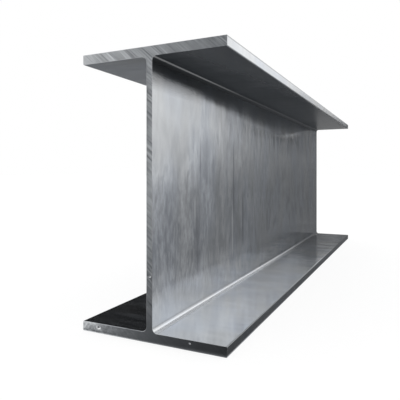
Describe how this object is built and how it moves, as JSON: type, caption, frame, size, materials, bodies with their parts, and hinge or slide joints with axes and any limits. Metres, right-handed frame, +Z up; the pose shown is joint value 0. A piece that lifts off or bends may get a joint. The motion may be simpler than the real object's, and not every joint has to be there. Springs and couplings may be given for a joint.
{
  "type": "steel h-beam",
  "caption": "Short cut length of hot-rolled steel H-beam with parallel flanges on an upright web, filleted roots and sawn square ends, for posts, lintels and frames.",
  "frame": {"origin": "middle of the underside of the lower flange, on the floor", "axes": "+X along the beam, from the sawn end that faces the picture's viewer to the far one; +Y across the flanges; +Z up along the web"},
  "size_m": [0.72, 0.146, 0.258],
  "materials": {
    "mill_steel": "bare hot-rolled mill finish with rolling streaks and handling marks, and saw-cut ends"
  },
  "bodies": {
    "root": {"h_beam": "mill_steel"}
  },
  "joints": []
}
